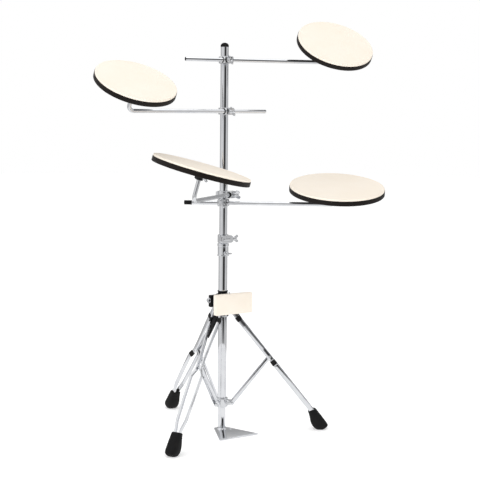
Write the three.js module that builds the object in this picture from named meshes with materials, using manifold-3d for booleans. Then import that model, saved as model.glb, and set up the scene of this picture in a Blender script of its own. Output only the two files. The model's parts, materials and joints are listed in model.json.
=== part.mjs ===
// Five-piece drum practice pad set on one folding tripod stand: four round
// pads on bent rods, a kick pad, a telescoping mast and a foot plate.
// Millimetres, +Z up along the mast. The origin is on the floor under the mast.
// The kick pad faces -Y, towards the player.
import * as THREE from 'three';
import { mergeVertices } from 'three/addons/utils/BufferGeometryUtils.js';
import Module from 'manifold-3d';

const wasm = await Module();
wasm.setup();

// ---------- driving dimensions ----------
const INCH = 25.4;
const GAP = 0.3;                    // clearance between separate pieces
const ROUND = 20;                   // sides of mast-sized rounds
const SMALL = 12;                   // sides of rod-sized rounds
const DISC = 44;                    // sides of the pads

const UPPER_R = 0.5 * INCH;         // one-inch upper tube
const LOWER_R = 0.5625 * INCH;      // one and one eighth inch lower tube
const TUBE_WALL = 1.3;
const ROD_R = 0.25 * INCH;          // half-inch pad rods
const BUSH_WALL = 1.3;
const MAST_TOP = 1254.6;
const CAP_R = 13.2;
const CAP_H = 13;
const UPPER_TUBE_FOOT = 405;        // the upper tube's hidden lower end
const TUBE_JOINT = 617;             // top of the lower tube, inside the joint sleeve
const SLEEVE_SCREW = TUBE_JOINT - 25.4;
const POST_TOP = 140;               // the foot post's hidden upper end
const POST_JOIN = 76;               // where the lower tube ends on the foot post

const LEG_ANGLE = THREE.MathUtils.degToRad(38.5);
const CROWN_Z = 398;                // height of the leg pivots
const PIVOT_R = 34;                 // distance of the collar pivots from the mast
const STRUT = 195;                  // pivot to pivot, on the leg and on the strut
const LEG = CROWN_Z / Math.cos(LEG_ANGLE);
const COLLAR_Z = CROWN_Z - 2 * STRUT * Math.cos(LEG_ANGLE);
const LEG_TURNS = { right: -28, back: 92, left: 212 };
const PIN_R = 3.1;
const BOOT = 86;                    // length of leg inside and above each boot's heel

const PLATE = 4;                    // foot plate thickness
const SOCKET_TOP = 7.5;
const KICK_Z = 433;                 // centre height of the kick pad

const CLAMP_H = 22;                 // height of every rod clamp
const ROD_OFFSET = 26;              // rod axis in front of the mast axis
const BEND_R = 20;                  // rod bend, on its centre line
const RUBBER = 6;
const BOARD = 15;

// One entry per pad. side is +1 when the rod leaves the clamp to its own right,
// turn is the clamp's angle about the mast, tilt leans the pad to the player and
// lean is how far off square the rod's bend is, away from the mast.
const ARMS = [
  { name: 'tom_high', side: 1, turn: -8.7, z: 1212.6, tilt: 36.4, lean: -0.9,
    reach: 363, tail: 143, rise: 76.4, pad: 5 * INCH, knob: 180 },
  { name: 'tom_mid', side: -1, turn: 1.6, z: 1050.2, tilt: 29.3, lean: -1,
    reach: 362.6, tail: 142, rise: 106, pad: 5 * INCH, knob: 90 },
  { name: 'snare', side: -1, turn: 35.9, z: 782.6, tilt: 14.3, lean: -4.9,
    reach: 293.7, tail: 27, rise: 108.5, pad: 6 * INCH, knob: 270 },
  { name: 'floor', side: 1, turn: -35.3, z: 756.7, tilt: 12.2, lean: 2,
    reach: 363.6, tail: 124, rise: 62.3, pad: 6 * INCH, knob: 90 },
];

// ---------- colours ----------
const CHROME = { color: 0xc8cbd0, roughness: 0.16, metalness: 1.0 };
const STEEL = { color: 0x9a9da3, roughness: 0.35, metalness: 0.9 };
const CREAM = { color: 0xf5e8d4, roughness: 0.72, metalness: 0.0 };
const WOOD = { color: 0x1d1512, roughness: 0.5, metalness: 0.0 };
const BLACK = { color: 0x151516, roughness: 0.6, metalness: 0.0 };
const RUBBER_BLACK = { color: 0x0f0f10, roughness: 0.85, metalness: 0.0 };

const group = new THREE.Group();
group.name = 'practice_pad_set';

// ---------- solids ----------
function toSolid(geometry) {
  geometry.deleteAttribute('normal');
  geometry.deleteAttribute('uv');
  const merged = mergeVertices(geometry, 1e-4);
  const index = merged.index.array;
  const triangles = [];
  for (let i = 0; i < index.length; i += 3) {
    const [a, b, c] = [index[i], index[i + 1], index[i + 2]];
    if (a !== b && b !== c && c !== a) triangles.push(a, b, c);
  }
  return new wasm.Manifold(new wasm.Mesh({
    numProp: 3,
    vertProperties: Float32Array.from(merged.attributes.position.array),
    triVerts: Uint32Array.from(triangles),
  }));
}

function toGeometry(solid) {
  const mesh = solid.getMesh();
  const geometry = new THREE.BufferGeometry();
  geometry.setAttribute('position', new THREE.BufferAttribute(Float32Array.from(mesh.vertProperties), 3));
  geometry.setIndex(new THREE.BufferAttribute(Uint32Array.from(mesh.triVerts), 1));
  return geometry;
}

function join(...solids) {
  return solids.reduce((sum, next) => sum.add(next));
}

function placed(geometry, at = [0, 0, 0], turns = [0, 0, 0]) {
  const pose = new THREE.Matrix4().makeRotationFromEuler(new THREE.Euler(...turns));
  pose.setPosition(...at);
  return toSolid(geometry.applyMatrix4(pose));
}

// A regular prism's corners lie outside its flats by this factor.
function corner(sides) {
  return 1 / Math.cos(Math.PI / sides);
}

function spun(profile, sides = ROUND) {
  const points = profile.map(([r, z]) => new THREE.Vector2(r, z));
  return toSolid(new THREE.LatheGeometry(points, sides).rotateX(Math.PI / 2));
}

// Plain round bar along an axis, from its low to its high end.
function bar(axis, radius, low, high, at = [0, 0, 0], sides = SMALL) {
  const geometry = new THREE.CylinderGeometry(radius, radius, high - low, sides);
  geometry.translate(0, (low + high) / 2, 0);
  if (axis === 'x') geometry.rotateZ(-Math.PI / 2);
  if (axis === 'z') geometry.rotateX(Math.PI / 2);
  return placed(geometry, at);
}

// Round hole whose flats clear a bar of the given radius.
function hole(axis, radius, low, high, at = [0, 0, 0], sides = SMALL) {
  return bar(axis, (radius + GAP) * corner(sides), low, high, at, sides);
}

function block(x, y, z) {
  const [w, d, h] = [x[1] - x[0], y[1] - y[0], z[1] - z[0]];
  return placed(new THREE.BoxGeometry(w, d, h), [(x[0] + x[1]) / 2, (y[0] + y[1]) / 2, (z[0] + z[1]) / 2]);
}

// Tube section: the bore's flats clear the shaft it goes over.
function sleeve(shaft, outer, low, high, sides = ROUND) {
  const inner = (shaft + GAP) * corner(sides);
  return spun([[inner, low], [outer, low], [outer, high], [inner, high], [inner, low]], sides);
}

function outline(points) {
  return new THREE.Shape(points.map(([x, y]) => new THREE.Vector2(x, y)));
}

function plate(shape, thickness, curveSegments = 3) {
  const geometry = new THREE.ExtrudeGeometry(shape, { depth: thickness, bevelEnabled: false, curveSegments });
  return geometry.translate(0, 0, -thickness / 2);
}

function roundedRect(width, height, radius) {
  const [x, y] = [width / 2, height / 2];
  const shape = new THREE.Shape();
  shape.moveTo(-x + radius, -y);
  shape.lineTo(x - radius, -y);
  shape.absarc(x - radius, -y + radius, radius, -Math.PI / 2, 0);
  shape.lineTo(x, y - radius);
  shape.absarc(x - radius, y - radius, radius, 0, Math.PI / 2);
  shape.lineTo(-x + radius, y);
  shape.absarc(-x + radius, y - radius, radius, Math.PI / 2, Math.PI);
  shape.lineTo(-x, -y + radius);
  shape.absarc(-x + radius, -y + radius, radius, Math.PI, 1.5 * Math.PI);
  return shape;
}

function add(name, solid, look, pose = new THREE.Matrix4()) {
  const mesh = new THREE.Mesh(toGeometry(solid).applyMatrix4(pose), new THREE.MeshStandardMaterial(look));
  mesh.name = name;
  group.add(mesh);
}

// ---------- screws with wings ----------
// Screw along -Y with its tip at y = -tip, a round shoulder outside y = -face
// and two wings in the plane that holds its axis.
function wingScrew(shank, tip, face, span, length) {
  const hub = bar('y', 2 * shank, -face - GAP - 7, -face - GAP);
  const stem = bar('y', shank, -face - 2, -tip);
  const wings = placed(plate(roundedRect(span, length, 0.4 * length), 3.6), [0, -face - GAP - 4 - length / 2, 0]);
  return join(stem, hub, wings);
}

// ---------- pad arms ----------
// Rod in its XZ plane: along X to a rounded corner at the origin, then up the
// short leg, which stands bend radians from the first part.
class BentPath extends THREE.Curve {
  constructor(start, height, side, bend) {
    super();
    Object.assign(this, { start, height, side, bend });
    this.arcs = 6;
    this.steps = this.arcs + 2;
  }

  angleAt(t) {
    const step = Math.min(Math.max(Math.round(t * this.steps) - 1, 0), this.arcs);
    return (step / this.arcs) * this.bend;
  }

  getPoint(t) {
    if (t <= 0) return new THREE.Vector3(-this.side * this.start, 0, 0);
    if (t >= 1) {
      const x = this.side * this.height * Math.cos(this.bend);
      return new THREE.Vector3(x, 0, this.height * Math.sin(this.bend));
    }
    const angle = this.angleAt(t);
    const x = BEND_R * (Math.sin(angle) - Math.tan(this.bend / 2));
    return new THREE.Vector3(this.side * x, 0, BEND_R * (1 - Math.cos(angle)));
  }

  getTangentAt(t) {
    const angle = this.angleAt(t);
    return new THREE.Vector3(this.side * Math.cos(angle), 0, Math.sin(angle));
  }

  getSpacedPoints(divisions) {
    return Array.from({ length: divisions + 1 }, (_, i) => this.getPoint(i / divisions));
  }
}

function bentRod(arm, top) {
  const bend = THREE.MathUtils.degToRad(90 - arm.lean);
  const path = new BentPath(arm.reach + arm.tail, top, arm.side, bend);
  const section = new THREE.Shape();
  section.absarc(0, 0, ROD_R, 0, 2 * Math.PI);
  return toSolid(new THREE.ExtrudeGeometry(section, {
    steps: path.steps, extrudePath: path, curveSegments: SMALL / 2,
  }));
}

function rodClamp() {
  const half = CLAMP_H / 2;
  const collar = bar('z', UPPER_R + BUSH_WALL + GAP + 4, -half, half, [0, 0, 0], ROUND);
  const bossShape = roundedRect(30, ROD_OFFSET + 2, 5);
  const boss = placed(plate(bossShape, CLAMP_H), [0, -(ROD_OFFSET + 2) / 2 - 10, 0]);
  return join(collar, boss)
    .subtract(hole('z', UPPER_R + BUSH_WALL + GAP, -half - 1, half + 1, [0, 0, 0], ROUND))
    .subtract(hole('x', ROD_R + BUSH_WALL + GAP, -20, 20, [0, -ROD_OFFSET, 0]))
    .subtract(hole('y', 3.5, -45, -ROD_OFFSET));
}

function padBracket(top) {
  const flange = bar('z', 27, top - 2.5, top, [0, 0, 0], ROUND);
  const boss = bar('z', 11.5, top - 20.4, top - 2, [0, 0, 0], ROUND);
  return join(flange, boss)
    .subtract(hole('z', ROD_R, top - 22, top - 3.2))
    .subtract(hole('y', 2.6, -13, 0, [0, 0, top - 12]));
}

// Round layer with its lower rim eased.
function layer(radius, low, high, ease) {
  return spun([[0, low], [radius - ease, low], [radius, low + ease], [radius, high], [0, high]], DISC);
}

function addArm(arm) {
  const atMast = new THREE.Matrix4().makeRotationZ(THREE.MathUtils.degToRad(arm.turn));
  atMast.setPosition(0, 0, arm.z);
  const half = CLAMP_H / 2;
  add(`${arm.name}_bush`, sleeve(UPPER_R, UPPER_R + BUSH_WALL + GAP, -half, half), BLACK, atMast);
  add(`${arm.name}_clamp`, rodClamp(), CHROME, atMast);
  add(`${arm.name}_wing`, wingScrew(3.5, ROD_OFFSET + ROD_R + BUSH_WALL + 2 * GAP, ROD_OFFSET + 12, 30, 15), CHROME, atMast);

  const atRod = atMast.clone().multiply(new THREE.Matrix4().makeTranslation(0, -ROD_OFFSET, 0));
  const liner = sleeve(ROD_R, ROD_R + BUSH_WALL + GAP, -17, 17, SMALL);
  add(`${arm.name}_rod_bush`, liner, BLACK, atRod.clone().multiply(new THREE.Matrix4().makeRotationY(Math.PI / 2)));

  const tilt = new THREE.Matrix4().makeRotationX(THREE.MathUtils.degToRad(arm.tilt));
  const atBend = atRod.clone()
    .multiply(new THREE.Matrix4().makeTranslation(arm.side * arm.reach, 0, 0))
    .multiply(tilt);
  const boardTop = arm.rise - RUBBER - GAP;
  const bracketTop = boardTop - BOARD - GAP;
  add(`${arm.name}_rod`, bentRod(arm, bracketTop - 4), CHROME, atBend);

  const lean = new THREE.Matrix4().makeRotationY(THREE.MathUtils.degToRad(arm.side * arm.lean));
  const atPad = atBend.clone().multiply(lean);
  const knobTurn = THREE.MathUtils.degToRad(arm.knob + 90);
  const atKnob = atPad.clone().multiply(new THREE.Matrix4().makeRotationZ(knobTurn));
  add(`${arm.name}_bracket`, padBracket(bracketTop), BLACK, atKnob);
  const screw = wingScrew(2.6, ROD_R + 2 * GAP, 11.5, 18, 12);
  const atScrew = atKnob.clone().multiply(new THREE.Matrix4().makeTranslation(0, 0, bracketTop - 12));
  add(`${arm.name}_bracket_wing`, screw, CHROME, atScrew);
  add(`${arm.name}_board`, layer(arm.pad, boardTop - BOARD, boardTop, 1), WOOD, atPad);
  add(`${arm.name}_rubber`, layer(arm.pad - 1.2, arm.rise - RUBBER, arm.rise, 0.8), CREAM, atPad);
}

// ---------- mast ----------
function addMast() {
  const bore = UPPER_R - TUBE_WALL;
  add('upper_tube', spun([
    [bore, UPPER_TUBE_FOOT], [UPPER_R, UPPER_TUBE_FOOT],
    [UPPER_R, MAST_TOP - GAP], [bore, MAST_TOP - GAP], [bore, UPPER_TUBE_FOOT],
  ]), CHROME);
  const plug = bore * Math.cos(Math.PI / ROUND) - GAP;
  const dome = [[0, MAST_TOP - 14], [plug, MAST_TOP - 14], [plug, MAST_TOP], [CAP_R, MAST_TOP]];
  for (const step of [1, 2, 3]) {
    const angle = (step / 4) * Math.PI / 2;
    dome.push([CAP_R * Math.cos(angle), MAST_TOP + CAP_H * Math.sin(angle)]);
  }
  dome.push([0, MAST_TOP + CAP_H]);
  add('mast_cap', spun(dome), RUBBER_BLACK);

  const lowerBore = (UPPER_R + GAP) * corner(ROUND);
  const sleeveHole = hole('y', 3, -20, -8, [0, 0, SLEEVE_SCREW]);
  add('lower_tube', spun([
    [lowerBore, POST_JOIN], [LOWER_R, POST_JOIN],
    [LOWER_R, TUBE_JOINT], [lowerBore, TUBE_JOINT], [lowerBore, POST_JOIN],
  ]).subtract(sleeveHole), CHROME);
  const postBore = UPPER_R - 2;
  add('foot_post', spun([
    [postBore, PLATE + GAP], [UPPER_R, PLATE + GAP],
    [UPPER_R, POST_TOP], [postBore, POST_TOP], [postBore, PLATE + GAP],
  ]), CHROME);
}

// Sleeve over the lower tube with a lip that closes in on the upper tube.
function addTubeSleeve() {
  const over = (LOWER_R + GAP) * corner(ROUND);
  const lip = (UPPER_R + GAP) * corner(ROUND);
  const outer = LOWER_R + 4.3;
  const [low, seat, top] = [SLEEVE_SCREW - 10, TUBE_JOINT + GAP, TUBE_JOINT + 6];
  const body = spun([
    [over, low], [outer, low], [outer, top - 2], [outer - 1.4, top],
    [lip, top], [lip, seat], [over, seat], [over, low],
  ]);
  const boss = bar('y', 8, -24, -17, [0, 0, SLEEVE_SCREW]);
  const screwHole = hole('y', 3, -30, -13, [0, 0, SLEEVE_SCREW]);
  add('tube_sleeve', join(body, boss).subtract(screwHole), CHROME);
  const lift = new THREE.Matrix4().makeTranslation(0, 0, SLEEVE_SCREW);
  add('tube_sleeve_wing', wingScrew(3, UPPER_R + 2 * GAP, 24, 22, 12), CHROME, lift);
}

// Hinged ring lock: an oval jaw across the front, split at its left end and
// drawn shut by a wing bolt at its right end.
function addMemoryLock() {
  const [low, high, boltY] = [TUBE_JOINT + 8, TUBE_JOINT + 34, -20];
  const mid = (low + high) / 2;
  const ring = bar('z', 18, low, high, [0, 0, 0], ROUND);
  const jaw = placed(plate(roundedRect(48, high - low - 2, 10), 14), [0, boltY, mid], [Math.PI / 2, 0, 0]);
  const slit = block([-40, -10], [-14.6, -12.4], [low - 1, high + 1]);
  const lock = join(ring, jaw)
    .subtract(hole('z', UPPER_R, low - 1, high + 1, [0, 0, 0], ROUND))
    .subtract(slit)
    .subtract(hole('x', 3, 14, 30, [0, boltY, mid]));
  add('memory_lock', lock, CHROME);
  const outward = new THREE.Matrix4().makeRotationZ(Math.PI / 2);
  outward.setPosition(0, boltY, mid);
  add('memory_lock_wing', wingScrew(3, 14.6, 24, 16, 14), CHROME, outward);
}

// ---------- tripod ----------
function legPose(turn) {
  const pose = new THREE.Matrix4().makeRotationZ(THREE.MathUtils.degToRad(turn));
  pose.multiply(new THREE.Matrix4().makeTranslation(PIVOT_R, 0, CROWN_Z));
  return pose.multiply(new THREE.Matrix4().makeRotationY(Math.PI / 2 - LEG_ANGLE));
}

function strutPose(turn) {
  const pose = new THREE.Matrix4().makeRotationZ(THREE.MathUtils.degToRad(turn));
  const along = new THREE.Vector3(Math.sin(LEG_ANGLE), 0, -Math.cos(LEG_ANGLE)).multiplyScalar(STRUT);
  pose.multiply(new THREE.Matrix4().makeTranslation(PIVOT_R + along.x, 0, CROWN_Z + along.z));
  return pose.multiply(new THREE.Matrix4().makeRotationY(Math.PI / 2 + LEG_ANGLE));
}

// Pair of bent flat bars lying along +X, mirrored about the XZ plane.
// centre lists [distance along, distance out] for the middle of one bar.
function barPair(centre, thickness, width) {
  const half = thickness / 2;
  const edge = centre.map(([x, y]) => [x, y + half]).concat(centre.map(([x, y]) => [x, y - half]).reverse());
  const one = placed(plate(outline(edge), width));
  const other = placed(plate(outline(edge.map(([x, y]) => [x, -y]).reverse()), width));
  return join(one, other);
}

// Collar with three pivot lugs around the mast.
function lugCollar(shaft, low, high, pivot, lugHalf) {
  let collar = sleeve(shaft, 20, low, high);
  for (const turn of Object.values(LEG_TURNS)) {
    const side = new THREE.Shape();
    side.moveTo(17.5 - PIVOT_R, -8);
    side.absarc(0, 0, 8, -Math.PI / 2, Math.PI / 2);
    side.lineTo(17.5 - PIVOT_R, 8);
    const lug = placed(plate(side, 2 * lugHalf, 4), [PIVOT_R, 0, pivot], [Math.PI / 2, 0, 0])
      .subtract(hole('y', PIN_R, -20, 20, [PIVOT_R, 0, pivot]));
    collar = collar.add(lug.rotate([0, 0, turn]));
  }
  return collar;
}

// Leg bars: apart at the crown, pinched at the strut pivot, apart again below it.
const LEG_END = LEG - 36;
const LEG_BARS = [
  [-7.5, 14.5], [60, 14], [STRUT - 33, 8.2], [STRUT + 7, 8.2],
  [STRUT + 24, 15.5], [LEG - BOOT + 6, 10.5], [LEG_END, 10.5],
];

function leg() {
  const bars = barPair(LEG_BARS, 3, 15);
  const topPin = bar('y', PIN_R, -15, 15);
  const midPin = bar('y', PIN_R, -9, 9, [STRUT, 0, 0]);
  const topSpacer = block([21, 31], [-14, 14], [-5, 5]);
  const midSpacer = block([STRUT + 16, STRUT + 26], [-14, 14], [1, 6]);
  const plug = block([LEG_END - 32, LEG_END], [-11, 11], [-5, 5]);
  return join(bars, topPin, midPin, topSpacer, midSpacer, plug);
}

function strut() {
  const bars = barPair([[-6.5, 4.6], [30, 4.6], [STRUT - 30, 7.9], [STRUT + 6.5, 7.9]], 2.4, 11);
  const spacer = block([52, 64], [-5.5, 5.5], [-4, 4]);
  const rivets = [-1, 1].map((way) => bar('y', 4, Math.min(way * 8, way * 10.6), Math.max(way * 8, way * 10.6), [STRUT, 0, 0]));
  return join(bars, spacer, ...rivets).subtract(hole('y', PIN_R, -10, 10));
}

// Rubber boot around the leg's end, cut level with the floor. Its heel bulges
// towards the mast; distances run along the leg, down to where it meets the floor.
function foot(pose) {
  const top = LEG - BOOT;
  const side = outline([
    [top, -12], [top + 3, -13.2], [LEG - 60, -22.6], [LEG - 45, -30], [LEG - 34, -30],
    [LEG - 22, -27.8], [LEG - 6, -7.6], [LEG - 5, 2], [LEG - 6, 10], [LEG - 9, 12.8],
    [LEG - 71, 14.3], [LEG - 79, 12.5], [top, -4],
  ]);
  const front = outline([
    [top, -16], [LEG - 50, -20.5], [LEG - 20, -20.5], [LEG - 9, -16], [LEG - 4, -9],
    [LEG - 4, 9], [LEG - 9, 16], [LEG - 20, 20.5], [LEG - 50, 20.5], [top, 16],
  ]);
  const across = placed(plate(side, 60), [0, 0, 0], [Math.PI / 2, 0, 0]);
  const along = placed(plate(front, 80));
  const socket = block([top - 1, LEG_END + GAP], [-12 - GAP, 12 + GAP], [-7.5 - GAP, 7.5 + GAP]);
  const rubber = toSolid(toGeometry(across.intersect(along).subtract(socket)).applyMatrix4(pose));
  return rubber.subtract(block([-600, 600], [-600, 600], [-200, 0]));
}

function addTripod() {
  add('upper_collar', lugCollar(LOWER_R, CROWN_Z - 16, CROWN_Z + 14, CROWN_Z, 12), CHROME);
  add('lower_collar', lugCollar(LOWER_R, COLLAR_Z - 13, COLLAR_Z + 16, COLLAR_Z, 6), CHROME);
  for (const [name, turn] of Object.entries(LEG_TURNS)) {
    add(`leg_${name}`, leg(), CHROME, legPose(turn));
    add(`strut_${name}`, strut(), CHROME, strutPose(turn));
    add(`foot_${name}`, foot(legPose(turn)), RUBBER_BLACK);
  }
}

function addFootPlate() {
  const shape = outline([[-74, -112], [74, -112], [18, 20], [-18, 20]]);
  const base = placed(plate(shape, PLATE), [0, 0, PLATE / 2]);
  const socket = bar('z', 17, PLATE - 1, SOCKET_TOP, [0, 0, 0], ROUND);
  const seat = hole('z', UPPER_R, PLATE, SOCKET_TOP + 1, [0, 0, 0], ROUND);
  add('foot_plate', join(base, socket).subtract(seat), CHROME);
}

// ---------- kick pad ----------
// The bracket's arm, a steel plate and a rubber block, one in front of another.
function addKickPad() {
  const [low, high] = [KICK_Z - 17, KICK_Z + 22];
  const [armFace, steel, thick] = [-54.4, 3, 15];
  const plateY = armFace - GAP - steel / 2;
  const rubberY = armFace - 2 * GAP - steel - thick / 2;
  add('kick_liner', sleeve(LOWER_R, LOWER_R + BUSH_WALL + GAP, low, high + 12), BLACK);
  const ring = bar('z', 24, low, high, [0, 0, 0], ROUND);
  const ear = block([-50, 0], [-8, 8], [low, high]);
  const neck = block([-14, 14], [armFace, 0], [low, high]);
  const back = block([-40, 40], [armFace, armFace + 5.4], [low, high]);
  const bore = hole('z', LOWER_R + BUSH_WALL + GAP, low - 1, high + 1, [0, 0, 0], ROUND);
  add('kick_bracket', join(ring, ear, neck, back).subtract(bore), BLACK);
  const upright = [Math.PI / 2, 0, 0];
  add('kick_plate', placed(plate(roundedRect(135, 64, 2), steel), [0, plateY, KICK_Z], upright), STEEL);
  add('kick_rubber', placed(plate(roundedRect(138, 67, 4), thick), [0, rubberY, KICK_Z], upright), CREAM);
}

addMast();
addTubeSleeve();
addMemoryLock();
addTripod();
addFootPlate();
addKickPad();
ARMS.forEach(addArm);

export default group;
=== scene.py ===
"""Drum practice pad set on a folding tripod stand: round rubber-faced pads on bent
chrome rods, a kick pad, a telescoping mast and a foot plate. Every visible piece is
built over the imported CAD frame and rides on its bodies. Metres, +Z up, -Y to the player."""
import json
import math

import bmesh
import bpy
from mathutils import Matrix, Vector

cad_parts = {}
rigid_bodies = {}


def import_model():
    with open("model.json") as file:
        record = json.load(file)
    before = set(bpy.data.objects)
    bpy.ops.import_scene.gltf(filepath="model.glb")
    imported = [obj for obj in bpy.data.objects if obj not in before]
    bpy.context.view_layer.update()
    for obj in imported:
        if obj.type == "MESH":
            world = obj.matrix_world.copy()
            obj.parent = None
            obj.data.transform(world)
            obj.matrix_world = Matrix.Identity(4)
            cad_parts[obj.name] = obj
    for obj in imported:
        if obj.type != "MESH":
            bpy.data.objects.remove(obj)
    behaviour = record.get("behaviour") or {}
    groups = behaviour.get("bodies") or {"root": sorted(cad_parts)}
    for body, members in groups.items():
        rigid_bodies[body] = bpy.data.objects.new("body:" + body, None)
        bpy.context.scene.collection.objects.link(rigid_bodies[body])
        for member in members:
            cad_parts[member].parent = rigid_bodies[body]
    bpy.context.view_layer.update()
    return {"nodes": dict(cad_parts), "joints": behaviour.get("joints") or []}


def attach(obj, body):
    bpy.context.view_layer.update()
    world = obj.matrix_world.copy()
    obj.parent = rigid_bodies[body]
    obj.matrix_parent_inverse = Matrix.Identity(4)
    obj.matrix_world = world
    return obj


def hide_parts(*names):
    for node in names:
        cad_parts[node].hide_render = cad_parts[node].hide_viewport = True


for leftover in list(bpy.data.objects):
    bpy.data.objects.remove(leftover, do_unlink=True)
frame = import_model()
NODES = frame["nodes"]
JOINTS = {joint["name"]: joint for joint in frame["joints"]}

MM = 0.001
UP = Vector((0, 0, 1))
ARMS = ("tom_high", "tom_mid", "snare", "floor")
LEGS = ("right", "back", "left")
FINE = 96                           # sides of the tubes and pads
CLEAR = 0.3 * MM                    # gap kept between pieces that touch
X_AXIS = Vector((1, 0, 0))
Y_AXIS = Vector((0, 1, 0))
TUBE_WALL = 1.3 * MM
ROD_R = 6.35 * MM                   # half-inch pad rods
ROD_LINER_R = 7.95 * MM             # outside of the liner round a rod


# ---------- measuring the frame ----------
def span(node, axis, origin=Vector()):
    """Lowest and highest reach of a CAD node along an axis, measured from an origin."""
    reach = [(vertex.co - origin).dot(axis) for vertex in NODES[node].data.vertices]
    return min(reach), max(reach)


def radius_of(node):
    """Outer radius about the mast of a CAD node that is round about the mast."""
    return max(vertex.co.to_2d().length for vertex in NODES[node].data.vertices)


def local_frame(origin, along, up):
    """Pose with Z on up, and X on the part of along that is square to it."""
    z = Vector(up).normalized()
    x = Vector(along)
    x = (x - z * x.dot(z)).normalized()
    pose = Matrix((x, z.cross(x), z)).transposed().to_4x4()
    pose.translation = Vector(origin)
    return pose


def shift(x=0.0, y=0.0, z=0.0):
    return Matrix.Translation((x, y, z))


def turn(degrees, axis):
    return Matrix.Rotation(math.radians(degrees), 4, axis)


def mm(*points):
    """Points given in millimetres, in metres."""
    return [tuple(value * MM for value in point) for point in points]


def side_tag(way):
    return "a" if way < 0 else "b"


# ---------- mesh building ----------
def finish_mesh(obj, material, sharp=35):
    """Smooth shading with creases kept sharper than an angle, and one material."""
    mesh = obj.data
    for polygon in mesh.polygons:
        polygon.use_smooth = True
    mesh.set_sharp_from_angle(angle=math.radians(sharp))
    mesh.materials.clear()
    mesh.materials.append(material)
    return obj


def object_from(name, build, material, sharp=35):
    mesh = bpy.data.meshes.new(name)
    build.normal_update()
    bmesh.ops.recalc_face_normals(build, faces=build.faces)
    build.to_mesh(mesh)
    build.free()
    obj = bpy.data.objects.new(name, mesh)
    bpy.context.scene.collection.objects.link(obj)
    return finish_mesh(obj, material, sharp)


def rounded(points, radius, steps=4, closed=True):
    """An outline with its corners turned into arcs. A point's third value is its own radius."""
    done = []
    for i, point in enumerate(points):
        here = Vector(point[:2])
        size = point[2] if len(point) > 2 else radius
        if size <= 0 or (not closed and i in (0, len(points) - 1)):
            done.append(here)
            continue
        before = Vector(points[i - 1][:2]) - here
        after = Vector(points[(i + 1) % len(points)][:2]) - here
        opening = before.angle(after)
        if opening > 3.1:
            done.append(here)
            continue
        cut = min(size / math.tan(opening / 2), 0.48 * before.length, 0.48 * after.length)
        size = cut * math.tan(opening / 2)
        inward = (before.normalized() + after.normalized()).normalized()
        centre = here + inward * (size / math.sin(opening / 2))
        start = here + before.normalized() * cut - centre
        end = here + after.normalized() * cut - centre
        swing = start.angle(end)
        for step in range(steps + 1):
            t = step / steps
            arc = (start * math.sin((1 - t) * swing) + end * math.sin(t * swing)) / math.sin(swing)
            done.append(centre + arc)
    return done


def lathe(name, profile, material, sides=FINE, sharp=35):
    """Solid turned about local Z from (radius, height) points, on the axis or a closed loop."""
    build = bmesh.new()
    rings = []
    for radius, height in profile:
        if radius < 1e-7:
            rings.append([build.verts.new((0, 0, height))])
            continue
        angles = [2 * math.pi * k / sides for k in range(sides)]
        rings.append([build.verts.new((radius * math.cos(a), radius * math.sin(a), height)) for a in angles])
    if len(rings[0]) > 1:
        rings.append(rings[0])
    for low, high in zip(rings, rings[1:]):
        for k in range(sides):
            near = [low[k % len(low)], low[(k + 1) % len(low)]]
            far = [high[(k + 1) % len(high)], high[k % len(high)]]
            corners = list(dict.fromkeys(near + far))
            if len(corners) > 2:
                build.faces.new(corners)
    return object_from(name, build, material, sharp)


def ring(name, inner, outer, low, high, material, ease=0.4 * MM, sides=FINE):
    corners = [(inner, low), (outer, low), (outer, high), (inner, high)]
    return lathe(name, rounded(corners, ease, 3), material, sides)


def disc(name, radius, low, high, material, ease=0.5 * MM, sides=48):
    profile = rounded([(0, low), (radius, low), (radius, high), (0, high)], ease, 3, closed=False)
    return lathe(name, profile, material, sides)


def plate(name, outline, low, high, material, ease=0.4 * MM):
    """Flat piece cut to an outline in local XY, with its rims eased."""
    build = bmesh.new()
    base = build.faces.new([build.verts.new((x, y, low)) for x, y in outline])
    top = bmesh.ops.extrude_face_region(build, geom=[base])
    lifted = [item for item in top["geom"] if isinstance(item, bmesh.types.BMVert)]
    bmesh.ops.translate(build, verts=lifted, vec=(0, 0, high - low))
    if ease > 0:
        rims = [edge for edge in build.edges if abs(edge.verts[0].co.z - edge.verts[1].co.z) < 1e-9]
        bmesh.ops.bevel(build, geom=rims, offset=ease, segments=3, affect="EDGES", profile=0.5)
    return object_from(name, build, material)


def box_outline(width, depth, radius, steps=5):
    x, y = width / 2, depth / 2
    return rounded([(-x, -y), (x, -y), (x, y), (-x, y)], radius, steps)


def sweep(name, path, section, material, sharp=35):
    """Closed section of (side, across) points carried along a path in local XY."""
    build = bmesh.new()
    rows = []
    for i, point in enumerate(path):
        before = path[max(i - 1, 0)]
        after = path[min(i + 1, len(path) - 1)]
        along = (after - before).normalized()
        side = Vector((-along.y, along.x))
        stretch = 1.0
        if 0 < i < len(path) - 1:
            stretch = 1 / max(0.5, abs(along.dot((after - point).normalized())))
        rows.append([build.verts.new((*(point + side * s * stretch), b)) for s, b in section])
    count = len(section)
    for low, high in zip(rows, rows[1:]):
        for k in range(count):
            build.faces.new([low[k], low[(k + 1) % count], high[(k + 1) % count], high[k]])
    build.faces.new(rows[0])
    build.faces.new(rows[-1][::-1])
    return object_from(name, build, material, sharp)


def round_section(radius, sides=32):
    angles = [2 * math.pi * k / sides for k in range(sides)]
    return [(radius * math.cos(a), radius * math.sin(a)) for a in angles]


def moved(obj, pose):
    """The piece's mesh carried by a pose, so that several can be joined in one frame."""
    obj.data.transform(pose)
    return obj


def joined(name, *objects):
    """One object of several meshes, keeping each mesh's material."""
    first = objects[0]
    with bpy.context.temp_override(
        active_object=first, object=first, selected_objects=list(objects),
        selected_editable_objects=list(objects),
    ):
        bpy.ops.object.join()
    first.name = name
    first.data.name = name
    return first


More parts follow.
